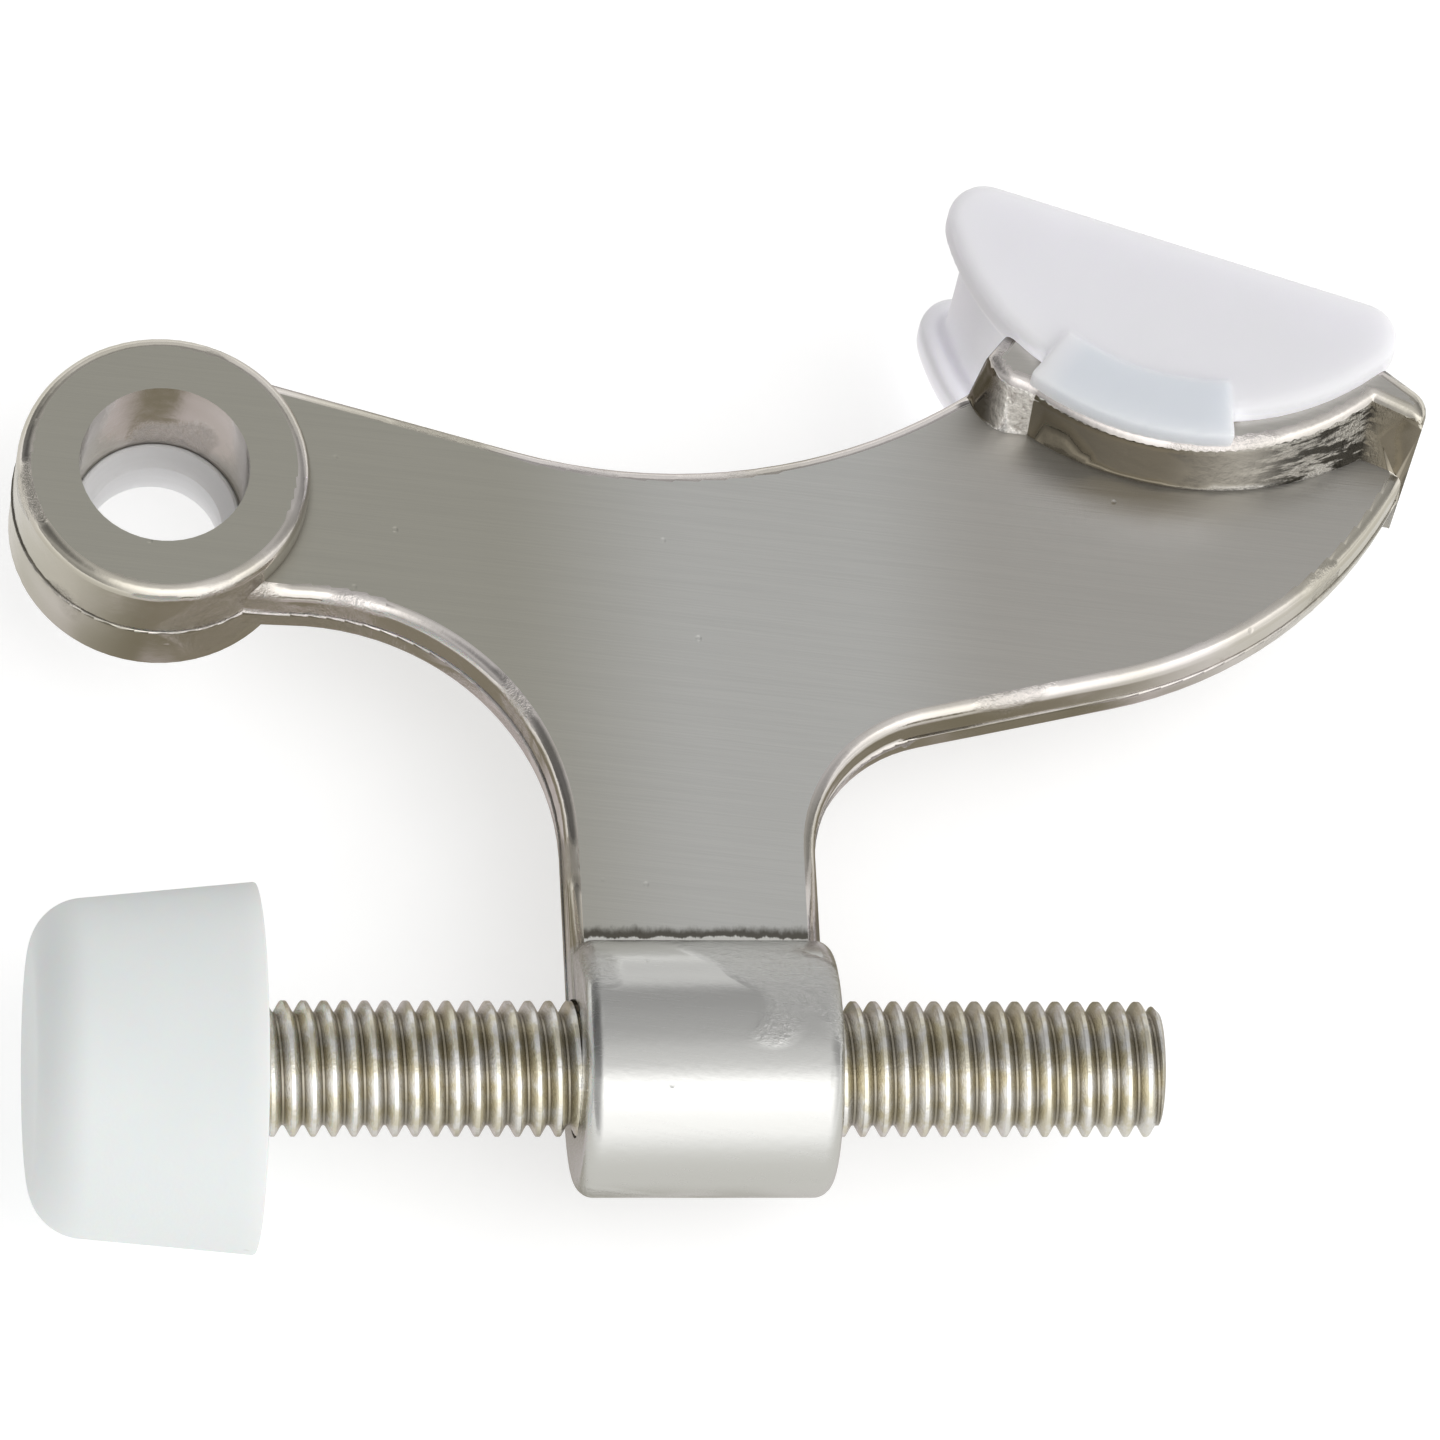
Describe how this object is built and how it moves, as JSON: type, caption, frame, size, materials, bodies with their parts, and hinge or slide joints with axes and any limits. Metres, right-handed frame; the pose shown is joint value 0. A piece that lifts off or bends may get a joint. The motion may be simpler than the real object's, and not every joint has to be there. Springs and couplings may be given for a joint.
{
  "type": "hinge-pin door stop",
  "caption": "Hinge-pin door stop: an eye for the hinge pin, a flat web with a saddle holding a soft trim pad, and a threaded barrel with an adjusting screw and rubber tip.",
  "frame": {"origin": "on the hinge pin's axis, at the face of the eye that sits on the hinge, inside the bushing's bore", "axes": "+Z along the hinge pin's bore, upward on the door; +X along the adjusting screw towards its free end; +Y from the screw towards the eye and the trim pad"},
  "size_m": [0.0705, 0.0546, 0.0182],
  "materials": {
    "satin_nickel": "satin nickel plate over zinc die casting, brushed on the flat faces",
    "bushing_nylon": "translucent natural nylon",
    "pad_vinyl": "milky translucent vinyl",
    "screw_nickel": "bright nickel plate on steel",
    "tip_rubber": "matt white rubber"
  },
  "bodies": {
    "root": {"body_casting": "satin_nickel", "hinge_pin_bushing": "bushing_nylon", "trim_pad": "pad_vinyl"},
    "tip": {"rubber_tip": "tip_rubber"},
    "screw": {"adjusting_screw": "screw_nickel"}
  },
  "joints": [
    {"name": "screw_travel", "type": "slide", "parent": "root", "child": "tip", "axis": [1, 0, 0], "range_m": [-0.015, 0.015]},
    {"name": "screw_turn", "type": "hinge", "parent": "tip", "child": "screw", "pos_m": [0.02, -0.031, 0.004], "axis": [1, 0, 0], "range_deg": [-5400, 5400]}
  ],
  "couplings": [
    {"joint": "screw_turn", "follows": "screw_travel", "rad_per_m": 6283.2}
  ]
}
